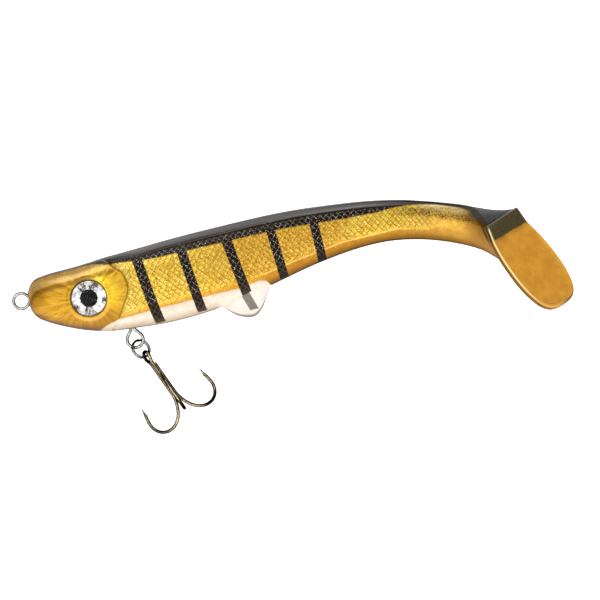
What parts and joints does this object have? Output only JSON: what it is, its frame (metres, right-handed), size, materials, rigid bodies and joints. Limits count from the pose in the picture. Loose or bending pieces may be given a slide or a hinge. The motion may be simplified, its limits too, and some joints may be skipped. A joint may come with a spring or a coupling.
{
  "type": "paddle-tail swimbait lure",
  "caption": "Soft perch-pattern paddle-tail swimbait with a weighted head, wire line tie, and a treble hook hanging from a split ring under the belly.",
  "frame": {"origin": "centre of the line-tie eye at the nose", "axes": "+X from nose to tail, +Z to the back of the fish, -Y its left flank; +Y along the line-tie eye's hole"},
  "size_m": [0.2461, 0.0534, 0.0852],
  "materials": {
    "soft_back": "semi-gloss scaled gold with a black back",
    "soft_gold": "semi-gloss",
    "soft_white": "semi-gloss",
    "stainless": "bright drawn wire",
    "ballast": "as cast",
    "foil": "faceted foil",
    "pupil": "gloss",
    "lens": "clear gloss",
    "hook_wire": "bronzed",
    "braze": "dull"
  },
  "bodies": {
    "head": {"body_front": "soft_back", "belly_front": "soft_white", "line_tie": "stainless", "hook_hanger": "stainless", "ballast_weight": "ballast", "eye_foil_left": "foil", "eye_foil_right": "foil", "eye_pupil_left": "pupil", "eye_pupil_right": "pupil", "eye_dome_left": "lens", "eye_dome_right": "lens"},
    "mid": {"body_mid": "soft_back", "belly_mid": "soft_white"},
    "rear": {"body_rear": "soft_back"},
    "stem": {"tail_stem": "soft_back"},
    "paddle": {"tail_wrist": "soft_back"},
    "paddle_end": {"paddle_tip": "soft_gold"},
    "fin": {"belly_fin": "soft_white"},
    "ring": {"split_ring": "stainless"},
    "hook": {"treble_double_hook": "hook_wire", "treble_single_hook": "hook_wire", "treble_braze": "braze"}
  },
  "joints": [
    {"name": "front_flex", "type": "hinge", "parent": "head", "child": "mid", "pos_m": [0.08, 0, -0.0072], "axis": [0, 0, 1], "range_deg": [-10, 10], "stiffness_Nm_per_rad": 0.06},
    {"name": "mid_flex", "type": "hinge", "parent": "mid", "child": "rear", "pos_m": [0.121, 0, -0.0042], "axis": [0, 0, 1], "range_deg": [-14, 14], "stiffness_Nm_per_rad": 0.03},
    {"name": "rear_flex", "type": "hinge", "parent": "rear", "child": "stem", "pos_m": [0.158, 0, -0.0036], "axis": [0, 0, 1], "range_deg": [-15, 25], "stiffness_Nm_per_rad": 0.015},
    {"name": "wrist_flex", "type": "hinge", "parent": "stem", "child": "paddle", "pos_m": [0.2014, -0.0056, -0.0144], "axis": [0.124, -0.135, 0.9831], "range_deg": [-20, 40], "stiffness_Nm_per_rad": 0.004},
    {"name": "paddle_flap", "type": "hinge", "parent": "paddle", "child": "paddle_end", "pos_m": [0.22843, -0.02941, -0.04597], "axis": [0.7762, 0.6002, 0.1931], "range_deg": [-25, 25], "stiffness_Nm_per_rad": 0.0015},
    {"name": "fin_flex", "type": "hinge", "parent": "mid", "child": "fin", "pos_m": [0.0905, 0, -0.0269], "axis": [0.9835, 0, 0.1808], "range_deg": [-20, 20], "stiffness_Nm_per_rad": 0.0008},
    {"name": "ring_swing", "type": "hinge", "parent": "head", "child": "ring", "pos_m": [0.046, 0, -0.0295], "axis": [0, 1, 0], "range_deg": [-20, 45]},
    {"name": "hook_swing", "type": "hinge", "parent": "ring", "child": "hook", "pos_m": [0.04922, -0.00041, -0.03807], "axis": [0.7119, 0.6387, 0.2921], "range_deg": [-40, 40]}
  ]
}
